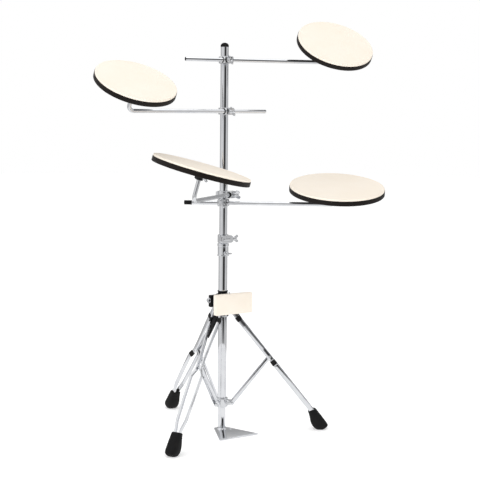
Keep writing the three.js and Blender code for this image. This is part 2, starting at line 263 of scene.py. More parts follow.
def applied(obj):
    """The object with its modifiers made part of its mesh."""
    bpy.context.view_layer.update()
    graph = bpy.context.evaluated_depsgraph_get()
    mesh = bpy.data.meshes.new_from_object(obj.evaluated_get(graph))
    old = obj.data
    obj.modifiers.clear()
    obj.data = mesh
    bpy.data.meshes.remove(old)
    return obj


def carved(obj, *cutters):
    for cutter in cutters:
        boolean = obj.modifiers.new("carve", "BOOLEAN")
        boolean.operation = "DIFFERENCE"
        boolean.solver = "EXACT"
        boolean.object = cutter
    applied(obj)
    for cutter in cutters:
        bpy.data.objects.remove(cutter, do_unlink=True)
    return obj


def cast(name, solids, cutters, material, grain=0.5 * MM, smooth=6):
    """Overlapping solids melted into one casting with filleted edges, then bored."""
    body = joined(name, *solids)
    melt = body.modifiers.new("melt", "REMESH")
    melt.mode = "VOXEL"
    melt.voxel_size = grain * 1.0
    ease = body.modifiers.new("ease", "SMOOTH")
    ease.factor = 0.5
    ease.iterations = smooth
    applied(body)
    if cutters:
        carved(body, *cutters)
    return finish_mesh(body, material, 40)


def bore(radius, low, high, sides=64):
    """Plain cylinder along local Z used to cut a hole."""
    return lathe("bore", [(0, low), (radius, low), (radius, high), (0, high)], cutter_material(), sides)


def cutter_material():
    return bpy.data.materials.get("cutter") or bpy.data.materials.new("cutter")


def copy_of(obj, name):
    twin = bpy.data.objects.new(name, obj.data)
    bpy.context.scene.collection.objects.link(twin)
    return twin


def put(obj, pose, body, stands_for=()):
    """Places a piece in the row frame, and makes it ride on its body."""
    obj.matrix_world = pose
    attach(obj, body)
    if stands_for:
        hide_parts(*stands_for)
    return obj


# ---------- materials ----------
def wire(tree, kind, inputs, **settings):
    """A new node. inputs gives each socket a plain value, or the output that feeds it."""
    node = tree.nodes.new(kind)
    for key, value in settings.items():
        setattr(node, key, value)
    for socket, value in inputs.items():
        if isinstance(value, bpy.types.NodeSocket):
            tree.links.new(value, node.inputs[socket])
        else:
            node.inputs[socket].default_value = value
    return node


class Shader:
    """A Principled material with small helpers for procedural detail."""

    def __init__(self, name, color, roughness, metallic=0.0):
        self.material = bpy.data.materials.new(name)
        self.material.use_nodes = True
        self.tree = self.material.node_tree
        self.surface = self.tree.nodes["Principled BSDF"].inputs
        self.surface["Base Color"].default_value = (*color, 1)
        self.surface["Roughness"].default_value = roughness
        self.surface["Metallic"].default_value = metallic
        self.where = self.tree.nodes.new("ShaderNodeTexCoord").outputs["Object"]

    def stretched(self, scale):
        inputs = {"Scale": scale, "Vector": self.where}
        return wire(self.tree, "ShaderNodeMapping", inputs).outputs["Vector"]

    def noise(self, scale, detail=4.0, vector=None):
        inputs = {"Scale": scale, "Detail": detail, "Vector": vector or self.where}
        return wire(self.tree, "ShaderNodeTexNoise", inputs).outputs["Fac"]

    def levels(self, value, low, high, out_low, out_high):
        inputs = {"Value": value, "From Min": low, "From Max": high, "To Min": out_low, "To Max": out_high}
        return wire(self.tree, "ShaderNodeMapRange", inputs).outputs["Result"]

    def color(self, value, low, high, first, second):
        inputs = {"Factor": self.levels(value, low, high, 0, 1), "A": (*first, 1), "B": (*second, 1)}
        mixed = wire(self.tree, "ShaderNodeMix", inputs, data_type="RGBA").outputs["Result"]
        self.tree.links.new(mixed, self.surface["Base Color"])

    def roughness(self, value, low, high, smoothest, roughest):
        self.tree.links.new(self.levels(value, low, high, smoothest, roughest), self.surface["Roughness"])

    def bump(self, value, strength, depth, under=None):
        inputs = {"Strength": strength, "Distance": depth, "Height": value}
        if under is not None:
            inputs["Normal"] = under
        normal = wire(self.tree, "ShaderNodeBump", inputs).outputs["Normal"]
        self.tree.links.new(normal, self.surface["Normal"])
        return normal


def chrome():
    shader = Shader("chrome", (0.80, 0.81, 0.83), 0.06, 1.0)
    smudges = shader.noise(22, 5)
    shader.roughness(smudges, 0.35, 0.75, 0.035, 0.13)
    shader.color(smudges, 0.3, 0.7, (0.83, 0.84, 0.86), (0.74, 0.75, 0.78))
    hairlines = shader.noise(60, 2, shader.stretched((40, 40, 1.5)))
    shader.bump(hairlines, 0.04, 0.1 * MM)
    return shader.material


def cast_chrome():
    shader = Shader("cast_chrome", (0.74, 0.75, 0.77), 0.12, 1.0)
    pits = shader.noise(260, 3)
    shader.roughness(shader.noise(90, 4), 0.3, 0.75, 0.07, 0.24)
    shader.bump(pits, 0.12, 0.15 * MM)
    return shader.material


def gum_rubber():
    shader = Shader("gum_rubber", (0.95, 0.87, 0.76), 0.66)
    clouds = shader.noise(9, 4)
    shader.color(clouds, 0.3, 0.72, (0.960, 0.880, 0.775), (0.935, 0.845, 0.725))
    shader.roughness(shader.noise(60, 3), 0.3, 0.7, 0.58, 0.74)
    grain = shader.bump(shader.noise(1500, 2), 0.25, 0.12 * MM)
    shader.bump(shader.noise(180, 3), 0.10, 0.2 * MM, grain)
    shader.surface["Specular IOR Level"].default_value = 0.35
    return shader.material


def stained_wood():
    """Black-stained plywood: plies show faintly as bands through its thickness."""
    shader = Shader("stained_wood", (0.020, 0.014, 0.011), 0.42)
    waves = {"Scale": 130, "Distortion": 1.2, "Detail": 2, "Detail Scale": 0.4, "Vector": shader.where}
    plies = wire(shader.tree, "ShaderNodeTexWave", waves, wave_type="BANDS", bands_direction="Z")
    shader.color(plies.outputs["Fac"], 0.35, 0.95, (0.004, 0.0028, 0.0024), (0.014, 0.0085, 0.006))
    fibres = shader.noise(90, 5, shader.stretched((1, 1, 14)))
    shader.roughness(fibres, 0.3, 0.7, 0.30, 0.55)
    laid = shader.bump(plies.outputs["Fac"], 0.12, 0.3 * MM)
    shader.bump(fibres, 0.25, 0.2 * MM, laid)
    shader.surface["Specular IOR Level"].default_value = 0.22
    return shader.material


def moulded_black():
    shader = Shader("moulded_black", (0.0045, 0.0045, 0.005), 0.48)
    shader.surface["Specular IOR Level"].default_value = 0.25
    shader.roughness(shader.noise(120, 3), 0.3, 0.7, 0.38, 0.58)
    shader.bump(shader.noise(1400, 2), 0.2, 0.06 * MM)
    return shader.material


def black_coat():
    shader = Shader("black_coat", (0.005, 0.005, 0.0055), 0.36)
    shader.surface["Specular IOR Level"].default_value = 0.35
    peel = shader.noise(700, 2)
    shader.roughness(shader.noise(80, 3), 0.3, 0.7, 0.28, 0.46)
    shader.bump(peel, 0.25, 0.1 * MM)
    return shader.material


def foot_rubber():
    shader = Shader("foot_rubber", (0.005, 0.005, 0.0055), 0.8)
    shader.surface["Specular IOR Level"].default_value = 0.25
    dust = shader.noise(45, 5)
    shader.color(dust, 0.45, 0.8, (0.004, 0.004, 0.0045), (0.011, 0.0105, 0.010))
    shader.roughness(dust, 0.3, 0.8, 0.68, 0.9)
    shader.bump(shader.noise(900, 3), 0.5, 0.2 * MM)
    return shader.material


def plain_steel():
    shader = Shader("plain_steel", (0.42, 0.43, 0.45), 0.35, 1.0)
    brushed = shader.noise(50, 4, shader.stretched((1.5, 60, 60)))
    shader.roughness(brushed, 0.3, 0.7, 0.28, 0.48)
    shader.bump(brushed, 0.15, 0.08 * MM)
    return shader.material


def floor_finish():
    shader = Shader("studio_floor", (0.97, 0.97, 0.97), 0.55)
    shader.roughness(shader.noise(6, 3), 0.3, 0.7, 0.45, 0.62)
    shader.surface["Emission Color"].default_value = (1, 1, 1, 1)
    shader.surface["Emission Strength"].default_value = 0.25
    return shader.material


CHROME = chrome()
CAST = cast_chrome()
GUM = gum_rubber()
WOOD = stained_wood()
MOULDED = moulded_black()
COATED = black_coat()
BOOT = foot_rubber()
STEEL = plain_steel()


# ---------- screws ----------
def dome_head(name, radius, height, material, sides=32):
    """Rivet head on local Z, flat underneath."""
    steps = 6
    profile = [(0, 0), (radius, 0)]
    for step in range(1, steps):
        angle = math.pi / 2 * step / steps
        profile.append((radius * math.cos(angle), height * math.sin(angle)))
    profile.append((0, height))
    return lathe(name, profile, material, sides, 30)


def wing_screw(name, shank, shoulder, wing_span, wing_length, start):
    """Cast wing screw along local Z: shank up to the face at z = 0, hub and two ears above it."""
    hub = lathe("hub", rounded([
        (0, CLEAR), (shoulder, CLEAR), (shoulder, 3 * MM), (0.7 * shoulder, 0.55 * wing_length),
        (0.5 * shoulder, 0.75 * wing_length), (0, 0.75 * wing_length),
    ], 0.8 * MM, 3, closed=False), CAST, 32)
    solids = [hub]
    for way in (-1, 1):
        lean = Matrix.Translation((way * 0.27 * wing_span, 0, 0.58 * wing_length)) @ turn(way * 32, "Y")
        ear = plate("ear", box_outline(0.46 * wing_span, 0.95 * wing_length, 0.2 * wing_span),
                    -1.7 * MM, 1.7 * MM, CAST, 0.6 * MM)
        moved(ear, turn(90, "X"))
        moved(ear, lean)
        solids.append(ear)
    grip = cast(name, solids, [], CAST, 0.45 * MM, 5)
    stem = disc("stem", shank, start, 2 * MM, CHROME, 0.3 * MM, 24)
    grooves = []
    pitch = 1.25 * MM
    for k in range(int(-start / pitch)):
        z = start + (k + 0.5) * pitch
        grooves.append(lathe("thread", [(shank - 0.1 * MM, z - 0.4 * MM), (shank + 0.25 * MM, z),
                                        (shank - 0.1 * MM, z + 0.4 * MM)], CHROME, 24))
    return joined(name, grip, stem, *grooves)


def hex_bolt(name, across, height, material):
    """Hexagon head on local Z with a washer face under it."""
    corner = across / 2 / math.cos(math.pi / 6)
    angles = [math.pi / 3 * k for k in range(6)]
    outline = rounded([(corner * math.cos(a), corner * math.sin(a)) for a in angles], 0.4 * MM, 2)
    head = plate("head", outline, 0.6 * MM, height, material, 0.5 * MM)
    washer = disc("washer", 0.62 * across, 0, 0.8 * MM, material, 0.2 * MM)
    return joined(name, head, washer)


# ---------- mast ----------
def build_mast():
    low, high = span("upper_tube", UP)
    radius = radius_of("upper_tube")
    tube = ring("mast_upper_tube", radius - TUBE_WALL, radius, low, high, CHROME, 0.5 * MM)
    put(tube, Matrix(), "mast", ["upper_tube"])

    low, high = span("lower_tube", UP)
    radius = radius_of("lower_tube")
    tube = ring("mast_lower_tube", radius - TUBE_WALL, radius, low, high, CHROME, 0.5 * MM)
    put(tube, Matrix(), "stand", ["lower_tube"])

    low, high = span("foot_post", UP)
    radius = radius_of("foot_post")
    post = ring("mast_foot_post", radius - 2 * MM, radius, low, high, CHROME, 0.5 * MM)
    put(post, Matrix(), "stand", ["foot_post"])

    low, high = span("mast_cap", UP)
    rim = radius_of("mast_cap")
    seat = span("upper_tube", UP)[1] + CLEAR
    dome = [(0, low), (rim - 2.9 * MM, low), (rim - 2.6 * MM, seat), (rim, seat), (rim, seat + 3 * MM)]
    steps = 12
    for step in range(1, steps):
        angle = math.pi / 2 * step / steps
        dome.append((rim * math.cos(angle), seat + 3 * MM + (high - seat - 3 * MM) * math.sin(angle)))
    dome.append((0, high))
    cap = lathe("mast_end_cap", dome, BOOT, 64, 50)
    put(cap, Matrix(), "mast", ["mast_cap"])


def build_tube_sleeve():
    """Clamping sleeve on the lower tube's top, with a boss for its wing screw, and a black strip of painted
    shade where its slit would be.
    """
    low, high = span("tube_sleeve", UP)
    outer = max(v.co.x for v in NODES["tube_sleeve"].data.vertices)
    inner = radius_of("lower_tube") + CLEAR
    lip = radius_of("upper_tube") + CLEAR
    axis = Vector(JOINTS["sleeve_screw_turn"]["pos_m"])
    profile = rounded([
        (inner, low), (outer, low), (outer, low + 3 * MM), (outer - 1.2 * MM, low + 4.5 * MM),
        (outer - 1.2 * MM, high - 10 * MM), (outer, high - 8.5 * MM), (outer, high - 2 * MM),
        (outer - 2 * MM, high), (lip, high), (lip, high - 5.6 * MM), (inner, high - 5.6 * MM),
    ], 0.5 * MM, 3)
    body = lathe("tube_clamp_sleeve", profile, CHROME)
    put(body, Matrix(), "stand", ["tube_sleeve"])

    front = -span("tube_sleeve", Vector((0, 1, 0)))[0]
    boss_pose = local_frame(axis, (1, 0, 0), (0, -1, 0))
    boss = ring("sleeve_screw_boss", 3.3 * MM, 8 * MM, outer - 2.5 * MM, front, CHROME, 0.8 * MM, 48)
    put(boss, boss_pose, "stand")
    # Thin black strip on the sleeve's side: painted shade standing for the clamping slit, which is not cut.
    slit_shade_outline = box_outline(1.6 * MM, high - low - 10 * MM, 0.7 * MM)
    slit_shade = plate("sleeve_slit_painted_shade", slit_shade_outline, 0, 0.25 * MM, MOULDED, 0)
    slit_shade_pose = local_frame((outer - 1.32 * MM, 0, (low + high) / 2), Y_AXIS, X_AXIS)
    put(slit_shade, slit_shade_pose, "stand")

    screw = wing_screw("sleeve_wing_screw", 3 * MM, 6.5 * MM, 24 * MM, 14 * MM, -9 * MM)
    put(screw, boss_pose @ shift(z=front), "sleeve_screw", ["tube_sleeve_wing"])


def build_memory_lock():
    """Hinged ring lock: a back ring, an oval front jaw, a hinge pin and a wing screw."""
    low, high = span("memory_lock", UP)
    middle = (low + high) / 2
    shaft = radius_of("upper_tube") + CLEAR
    reach = span("memory_lock", X_AXIS)[1]
    outer = 18 * MM
    corners = [(shaft, low), (outer, low), (outer, high), (shaft, high)]
    back = lathe("ring", rounded(corners, 1.5 * MM, 4), CAST)
    upright = Matrix(((1, 0, 0, 0), (0, 0, 1, 0), (0, 1, 0, middle), (0, 0, 0, 1)))
    jaw_outline = box_outline(2 * reach, high - low - 1 * MM, 10.5 * MM, 10)
    jaw = plate("jaw", jaw_outline, -27 * MM, -13.5 * MM, CAST, 2 * MM)
    moved(jaw, upright)
    rib = plate("rib", box_outline(26 * MM, 7 * MM, 3.4 * MM, 8), -28.2 * MM, -20 * MM, CAST, 1.2 * MM)
    moved(rib, upright)
    opening = bore(shaft, low - 2 * MM, high + 2 * MM)
    slit = plate("slit", box_outline(30 * MM, 2 * MM, 0.2 * MM, 1), low - 2 * MM, high + 2 * MM, CAST, 0)
    moved(slit, shift(x=-25 * MM, y=-13.5 * MM))
    lock = cast("height_memory_lock", [back, jaw, rib], [opening, slit], CAST)
    put(lock, Matrix(), "memory_lock", ["memory_lock"])

    pin = disc("hinge_pin", 2.2 * MM, low - 0.8 * MM, high + 0.8 * MM, CHROME, 0.6 * MM, 24)
    put(pin, shift(x=-19 * MM, y=-12 * MM), "memory_lock")
    axis = JOINTS["memory_lock_bolt_turn"]
    pose = local_frame(axis["pos_m"], (0, 0, 1), axis["axis"])
    screw = wing_screw("lock_wing_screw", 3 * MM, 6 * MM, 19 * MM, 20 * MM, -9 * MM)
    put(screw, pose @ shift(z=reach), "memory_lock_bolt", ["memory_lock_wing"])


# ---------- pad arms ----------
def clamp_casting():
    """Rod clamp: collar on the mast, boss and barrel for the rod, split ear behind."""
    collar_r = radius_of("floor_bush")
    low, high = span("floor_clamp", UP)
    half = (high - low) / 2
    offset = 26 * MM
    front = 38 * MM

    collar = disc("collar", collar_r + 4.2 * MM, -half, half, CAST, 1.5 * MM, 64)
    boss = plate("boss", box_outline(30 * MM, front - 12 * MM, 5 * MM), -half, half, CAST, 1.2 * MM)
    moved(boss, shift(y=-(front + 12 * MM) / 2))
    barrel = disc("barrel", ROD_LINER_R + 3.6 * MM, -17 * MM, 17 * MM, CAST, 1.2 * MM, 64)
    moved(barrel, shift(y=-offset) @ turn(90, "Y"))
    nose = disc("nose", 7.5 * MM, 0, 3.2 * MM, CAST, 0.8 * MM, 48)
    moved(nose, shift(y=-front + 2.2 * MM) @ turn(90, "X"))
    ear = plate("ear", box_outline(14 * MM, 16 * MM, 3 * MM), -half + 2 * MM, half - 2 * MM, CAST, 1 * MM)
    moved(ear, shift(y=collar_r + 3 * MM))
    mast_bore = bore(collar_r + CLEAR / 2, -half - 5 * MM, half + 5 * MM)
    rod_bore = bore(ROD_LINER_R + 0.15 * MM, -30 * MM, 30 * MM)
    moved(rod_bore, shift(y=-offset) @ turn(90, "Y"))
    screw_bore = moved(bore(3.7 * MM, -20 * MM, 20 * MM, 32), shift(y=-front) @ turn(90, "X"))
    slit_outline = box_outline(1.6 * MM, 20 * MM, 0.1 * MM, 1)
    slit = plate("slit", slit_outline, -half - 2 * MM, half + 2 * MM, CAST, 0)
    moved(slit, shift(y=collar_r + 8 * MM))
    return cast("clamp_casting", [collar, boss, barrel, nose, ear],
                [mast_bore, rod_bore, screw_bore, slit], CAST)


def bracket_casting():
    """Flange and webbed socket under a pad, with its top face at z = 0."""
    flange = disc("flange", 27 * MM, -2.5 * MM, 0, COATED, 0.6 * MM, 64)
    socket = disc("socket", 11.5 * MM, -20.4 * MM, 0, COATED, 1 * MM, 64)
    solids = [flange, socket]
    for k in range(3):
        web_outline = mm((6, -13), (6, -1), (24, -1), (24, -3.5))
        web = plate("web", web_outline, -1.6 * MM, 1.6 * MM, COATED, 0.4 * MM)
        moved(web, turn(120 * k - 30, "Z") @ turn(90, "X"))
        solids.append(web)
    nut = plate("nut", box_outline(13 * MM, 13 * MM, 2 * MM), 0, 13.5 * MM, COATED, 0.8 * MM)
    moved(nut, shift(z=-12 * MM) @ turn(90, "X"))
    solids.append(nut)
    stem_bore = bore(6.65 * MM, -40 * MM, -1.4 * MM)
    side_bore = moved(bore(2.9 * MM, 0, 20 * MM, 32), shift(z=-12 * MM) @ turn(90, "X"))
    return cast("bracket_casting", solids, [stem_bore, side_bore], COATED, 0.45 * MM, 5)


def build_arm_shapes():
    """Castings shared by the four arms, each made once in its own frame."""
    return {
        "clamp": clamp_casting(),
        "bracket": bracket_casting(),
        "clamp_screw": wing_screw("clamp_screw_shape", 3.5 * MM, 7 * MM, 30 * MM, 18 * MM, -3.6 * MM),
        "pad_screw": wing_screw("pad_screw_shape", 2.6 * MM, 5.2 * MM, 17 * MM, 13 * MM, -4.4 * MM),
    }


def build_rod(name, side, rod_pose, reach, tail, top):
    """Half-inch rod with one bend, lying in its own XZ plane. top is (sideways, up)."""
    bend = 20 * MM
    path = rounded([(-(reach + tail), 0), (0, 0), top], bend, 20, closed=False)
    steps = 24
    straight = [path[0].lerp(path[1], k / steps) for k in range(steps)]
    rod = sweep(f"{name}_bent_rod", straight + path[1:], round_section(ROD_R, 40), CHROME, 40)
    in_plane = Matrix(((side, 0, 0, 0), (0, 0, -side, 0), (0, 1, 0, 0), (0, 0, 0, 1)))
    put(rod, rod_pose @ in_plane, f"{name}_rod", [f"{name}_rod"])
    end_pose = rod_pose @ shift(x=-side * (reach + tail)) @ turn(-90 * side, "Y")
    if name == "floor":
        build_rod_cap(name, end_pose)
    else:
        rim = ROD_R - 0.9 * MM
        profile = [(0, -0.2 * MM), (rim, -0.2 * MM), (rim, 0.5 * MM), (0, 1.1 * MM)]
        plug = lathe(f"{name}_rod_plug", rounded(profile, 0.4 * MM, 3, closed=False), BOOT, 48)
        put(plug, end_pose, f"{name}_rod")


def build_rod_cap(name, end_pose):
    """Rubber cap pulled over a rod's free end. Local Z points out of the end."""
    grip = 24 * MM
    skin = ROD_R + 0.05 * MM
    body = ROD_R + 0.6 * MM
    lip = ROD_R + 1.0 * MM
    profile = rounded([
        (skin, -grip), (lip, -grip), (lip, 2 * MM - grip), (body, 3 * MM - grip),
        (body, 0.5 * MM), (0, 2 * MM), (0, 0.1 * MM), (skin, 0.1 * MM),
    ], 0.4 * MM, 3)
    cap = lathe(f"{name}_rod_cap", [(max(x, 0), y) for x, y in profile], BOOT, 48)
    put(cap, end_pose, f"{name}_rod")


def build_pad_head(name, pad_pose, radius, board, rubber):
    """Stained plywood disc under a gum rubber face with a thin raised rim."""
    low, high = board
    wood = lathe(f"{name}_wood_disc", rounded([
        (0, low), (radius, low, 1.6 * MM), (radius, high, 0.8 * MM), (0, high),
    ], 1 * MM, 5, closed=False), WOOD, 144)
    put(wood, pad_pose, f"{name}_pad", [f"{name}_board"])

    low, high = rubber
    edge = radius - 1.2 * MM
    face = lathe(f"{name}_rubber_face", rounded([
        (0, low), (edge - 0.4 * MM, low, 0.4 * MM), (edge, low + 1.0 * MM, 0.5 * MM),
        (edge, high, 2.2 * MM), (edge - 6 * MM, high, 1.5 * MM),
        (edge - 7.5 * MM, high - 0.5 * MM, 1.5 * MM), (0, high - 0.5 * MM),
    ], 1 * MM, 5, closed=False), GUM, 144, 40)
    put(face, pad_pose, f"{name}_pad", [f"{name}_rubber"])


def build_arm(name, shapes):
    swivel = JOINTS[f"{name}_swivel"]
    tilt = JOINTS[f"{name}_tilt"]
    pad_turn = JOINTS[f"{name}_pad_turn"]
    across = Vector(tilt["axis"])
    bend, normal = Vector(pad_turn["pos_m"]), Vector(pad_turn["axis"])
    side = 1 if Vector(JOINTS[f"{name}_reach"]["axis"]).dot(across) > 0 else -1

    mast_pose = local_frame(swivel["pos_m"], across, UP)
    rod_pose = local_frame(tilt["pos_m"], across, UP)
    pad_pose = local_frame(bend, across, normal)

    half = (span(f"{name}_bush", UP)[1] - span(f"{name}_bush", UP)[0]) / 2
    inner = radius_of("upper_tube") + CLEAR
    outer = radius_of(f"{name}_bush") - 0.15 * MM
    liner = ring(f"{name}_mast_liner", inner, outer, -half, half, MOULDED, 0.3 * MM)
    put(liner, mast_pose, f"{name}_collar", [f"{name}_bush"])

    clamp = copy_of(shapes["clamp"], f"{name}_rod_clamp")
    put(clamp, mast_pose, f"{name}_clamp", [f"{name}_clamp"])
    screw_axis = JOINTS[f"{name}_clamp_screw_turn"]
    screw_pose = local_frame(screw_axis["pos_m"], UP, screw_axis["axis"])
    screw = copy_of(shapes["clamp_screw"], f"{name}_clamp_wing_screw")
    clamp_face = 38.9 * MM
    screw_pose = screw_pose @ shift(z=clamp_face) @ turn(25, "Z")
    put(screw, screw_pose, f"{name}_clamp_screw", [f"{name}_wing"])

    rod_liner = lathe(f"{name}_rod_sleeve", rounded(mm(
        (6.5, -17.4), (9.3, -17.4), (9.3, -17.05), (7.95, -17.05),
        (7.95, 17.05), (9.3, 17.05), (9.3, 17.4), (6.5, 17.4),
    ), 0.15 * MM, 2), MOULDED, 48)
    put(rod_liner, rod_pose @ turn(90, "Y"), f"{name}_rod_liner", [f"{name}_rod_bush"])

    reach = (bend - Vector(tilt["pos_m"])).length
    far = span(f"{name}_rod", across * side, bend)[0]
    top = span(f"{name}_rod", normal, bend)[1]
    square = (normal - across * normal.dot(across)).normalized()
    leg_end = (top * side * normal.dot(across), top * normal.dot(square))
    build_rod(name, side, local_frame(bend, across, square), reach, -far - reach, leg_end)

    radius = span(f"{name}_board", pad_pose.col[0].to_3d(), bend)[1]
    board = span(f"{name}_board", normal, bend)
    build_pad_head(name, pad_pose, radius, board, span(f"{name}_rubber", normal, bend))

    knob = JOINTS[f"{name}_pad_screw_turn"]
    knob_axis = Vector(knob["axis"])
    bracket_top = span(f"{name}_bracket", normal, bend)[1]
    bracket_pose = local_frame(bend + normal * bracket_top, normal.cross(knob_axis) * -1, normal)
    bracket = copy_of(shapes["bracket"], f"{name}_pad_bracket")
    put(bracket, bracket_pose, f"{name}_pad", [f"{name}_bracket"])
    pad_screw = copy_of(shapes["pad_screw"], f"{name}_pad_wing_screw")
    pad_screw_pose = local_frame(knob["pos_m"], normal, knob_axis)
    socket_face = 13.9 * MM
    pad_screw_pose = pad_screw_pose @ shift(z=socket_face) @ turn(20, "Z")
    put(pad_screw, pad_screw_pose, f"{name}_pad_screw", [f"{name}_bracket_wing"])
    for k in range(3):
        head = dome_head(f"{name}_board_screw_{k + 1}", 3.6 * MM, 1.8 * MM, CHROME, 24)
        seat = bracket_pose @ turn(120 * k + 30, "Z") @ shift(x=20.5 * MM, z=-2.45 * MM) @ turn(180, "X")
        put(head, seat, f"{name}_pad")


# ---------- tripod ----------
def lug_collar(name, shaft, outer, pivot, lug_half, material, low, high):
    """Casting around the mast with three pivot lugs. pivot is (radius, height)."""
    core = shaft - 1 * MM
    corners = [(core, low), (outer, low), (outer, high), (core, high)]
    body = lathe("body", rounded(corners, 1.6 * MM, 4), material)
    solids = [body]
    cutters = [bore(shaft, low - 4 * MM, high + 4 * MM)]
    for leg in LEGS:
        hinge = JOINTS[f"leg_{leg}_fold"]
        outward = Vector(hinge["pos_m"]).to_2d().to_3d().normalized()
        pose = local_frame(outward * pivot[0] + UP * pivot[1], outward, Vector(hinge["axis"]))
        nose = [(8 * MM * math.cos(a), 8 * MM * math.sin(a))
                for a in [math.pi * (k / 12 - 0.5) for k in range(13)]]
        inner = shaft + 1 * MM - pivot[0]
        outline = nose + [(inner, 9.5 * MM), (inner, -9.5 * MM)]
        lug = plate("lug", outline, -lug_half, lug_half, material, 0.8 * MM)
        solids.append(moved(lug, pose))
        hole = bore(3.4 * MM, -20 * MM, 20 * MM, 32)
        cutters.append(moved(hole, pose))
    return cast(name, solids, cutters, material, 0.6 * MM, 5)


def build_collars():
    shaft = radius_of("lower_tube") + CLEAR
    outer = 20 * MM
    top_pivot = Vector(JOINTS["leg_right_fold"]["pos_m"])
    pivot_r = top_pivot.to_2d().length
    low, high = span("upper_collar", UP)
    crown = lug_collar("tripod_crown", shaft, outer, (pivot_r, top_pivot.z), 12 * MM, CAST, low, high)
    put(crown, Matrix(), "stand", ["upper_collar"])

    low, high = span("lower_collar", UP)
    pivot_z = low + 13 * MM
    slider = lug_collar("tripod_slider", shaft, outer, (pivot_r, pivot_z), 6 * MM, CAST, low, high)
    put(slider, Matrix(), "lower_collar", ["lower_collar"])

    aim = Vector((math.cos(math.radians(-75)), math.sin(math.radians(-75)), 0))
    pose = local_frame((0, 0, high - 11 * MM), UP, aim)
    boss = ring("slider_screw_boss", 3.2 * MM, 7 * MM, 19 * MM, 24 * MM, CAST, 0.8 * MM, 48)
    put(boss, pose, "lower_collar")
    knob = wing_screw("slider_wing_screw", 3 * MM, 6 * MM, 22 * MM, 14 * MM, -4 * MM)
    put(knob, pose @ shift(z=24 * MM) @ turn(70, "Z"), "lower_collar")


def channel(width, depth, wall, corner):
    """Folded strip: a flat face towards +side with its two long edges turned in."""
    half = width / 2
    face = depth - wall
    outer = rounded([(-wall, -half), (face, -half, corner), (face, half, corner), (-wall, half)],
                    0, 4, closed=False)
    inside = max(corner - wall, 0.2 * MM)
    near = half - wall
    back = face - wall
    inner = rounded([(-wall, near), (back, near, inside), (back, -near, inside), (-wall, -near)],
                    0, 4, closed=False)
    return [tuple(point) for point in outer + inner]


def bar_pair(name, centre, section, material):
    """Two mirrored bent bars about local XZ, each bowed outwards."""
    path = rounded(centre, 14 * MM, 8, closed=False)
    other = [Vector((p.x, -p.y)) for p in path]
    flipped = [(-s, b) for s, b in reversed(section)]
    first = sweep("bar", path, section, material, 50)
    second = sweep("bar", other, flipped, material, 50)
    return joined(name, first, second)


def build_leg_pins(leg, pose, reach):
    """Pins through the crown and the strut pivot, with a rivet head at each end."""
    for place, outward, spot in ((0, 15.6 * MM, "top"), (reach, 9.4 * MM, "middle")):
        pin = disc(f"leg_{leg}_pin_{spot}", 3 * MM, -outward, outward, CHROME, 0.3 * MM, 32)
        put(pin, pose @ shift(x=place) @ turn(90, "X"), f"leg_{leg}")
        for way in (-1, 1):
            head = dome_head(f"leg_{leg}_rivet_{spot}_{side_tag(way)}", 5.2 * MM, 2.6 * MM, CHROME)
            seat = shift(x=place, y=way * (outward + 0.6 * MM)) @ turn(-90 * way, "X")
            put(head, pose @ seat, f"leg_{leg}")


def build_leg_sleeves(leg, pose, reach):
    """Black sleeves: one on each strip at the top, and on two legs one below the strut pivot."""
    top_place = 29 * MM
    top_out = 14 * MM
    sleeves = [(top_place, top_out, way, 0, 17 * MM, f"top_{side_tag(way)}") for way in (-1, 1)]
    if leg != "left":
        way = -1 if leg == "right" else 1
        sleeves.append((reach + 23 * MM, 13.1 * MM, way, 25, 18 * MM, "middle"))
    for place, out, way, slant, size, tag in sleeves:
        wrap = plate(f"leg_{leg}_bumper_{tag}", box_outline(size, 17.6 * MM, 2 * MM),
                     -3.4 * MM, 3.6 * MM, MOULDED, 1.2 * MM)
        seat = shift(x=place, y=way * out) @ turn(way * slant, "Z") @ turn(-90 * way, "X")
        put(wrap, pose @ seat, f"leg_{leg}")


def build_leg_black_wedge(leg, pose):
    """Black wedge filling the gap between the strips under the crown."""
    outline = mm((14, -11), (14, 7), (61, 1), (92, -4), (92, -6.5), (61, -5.5), (47, -11))
    half = 4.5 * MM
    wedge = plate(f"leg_{leg}_black_wedge", rounded(outline, 0.8 * MM, 3), -half, half, MOULDED, 0.4 * MM)
    put(wedge, pose, f"leg_{leg}")


def build_leg(leg, boot_shape):
    """Two bent strips from the crown to the boot, pinched together at the strut pivot."""
    hinge = JOINTS[f"leg_{leg}_fold"]
    strut_hinge = JOINTS[f"strut_{leg}_fold"]
    top, middle = Vector(hinge["pos_m"]), Vector(strut_hinge["pos_m"])
    along = (middle - top).normalized()
    axis = Vector(hinge["axis"])
    pose = local_frame(top, along, along.cross(axis))
    reach = (middle - top).length
    length = top.z / -along.z
    body = f"leg_{leg}"

    bends = [
        (-8 * MM, 14 * MM), (60 * MM, 13.5 * MM), (reach - 33 * MM, 7.6 * MM), (reach + 12 * MM, 7.6 * MM),
        (reach + 34 * MM, 18 * MM), (length - 195 * MM, 16.6 * MM), (length - 122 * MM, 14.2 * MM),
        (length - 94 * MM, 8.4 * MM), (length - 40 * MM, 8.4 * MM),
    ]
    section = channel(16 * MM, 4 * MM, TUBE_WALL, 2.6 * MM)
    bars = bar_pair(f"leg_{leg}_channels", bends, section, CHROME)
    put(bars, pose, body, [f"leg_{leg}"])
    build_leg_pins(leg, pose, reach)
    build_leg_sleeves(leg, pose, reach)
    build_leg_black_wedge(leg, pose)

    boot = copy_of(boot_shape, f"foot_{leg}_boot")
    put(boot, pose, body, [f"foot_{leg}"])
    build_strut(leg, middle, axis, along, reach)


